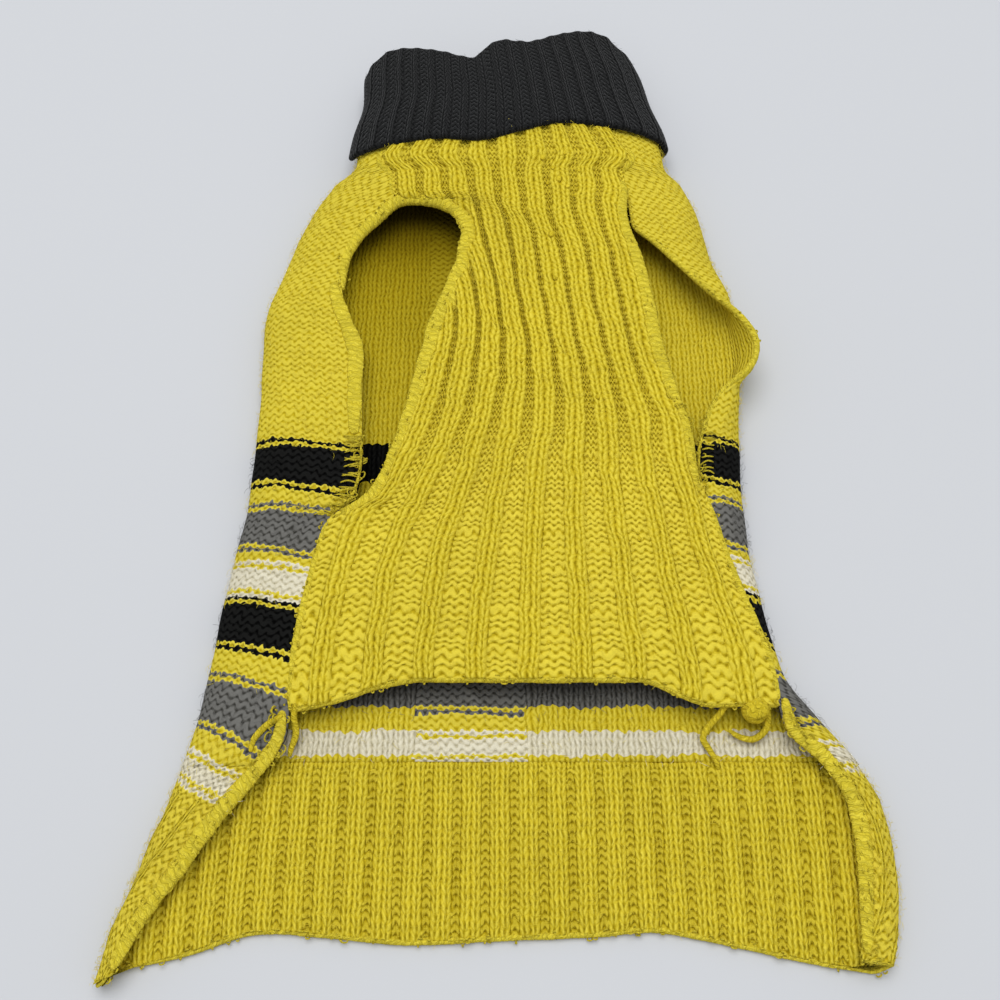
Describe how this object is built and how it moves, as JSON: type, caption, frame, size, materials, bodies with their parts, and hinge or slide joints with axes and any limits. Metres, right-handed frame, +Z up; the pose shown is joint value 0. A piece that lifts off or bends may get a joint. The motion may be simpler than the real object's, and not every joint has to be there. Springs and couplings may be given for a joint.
{
  "type": "dog sweater",
  "caption": "Knitted pullover for a dog with a turned-down ribbed collar, a ribbed belly panel, two leg openings and a long ribbed tail, laid flat on its back.",
  "frame": {"origin": "centre of the bounding box's underside, on the surface the garment lies on", "axes": "+Y from the tail hem to the collar, +X across the garment, +Z up from the surface"},
  "size_m": [0.3044, 0.4873, 0.031],
  "materials": {
    "striped_knit": "plain knit, wrong side out, yellow with black, grey and off-white stripes",
    "yellow_rib": "ribbed knit, bright yellow",
    "black_rib": "ribbed knit, black"
  },
  "bodies": {
    "root": {"back_panel": "striped_knit", "back_hem_rib": "yellow_rib", "belly_panel": "yellow_rib", "collar": "black_rib"}
  },
  "joints": []
}
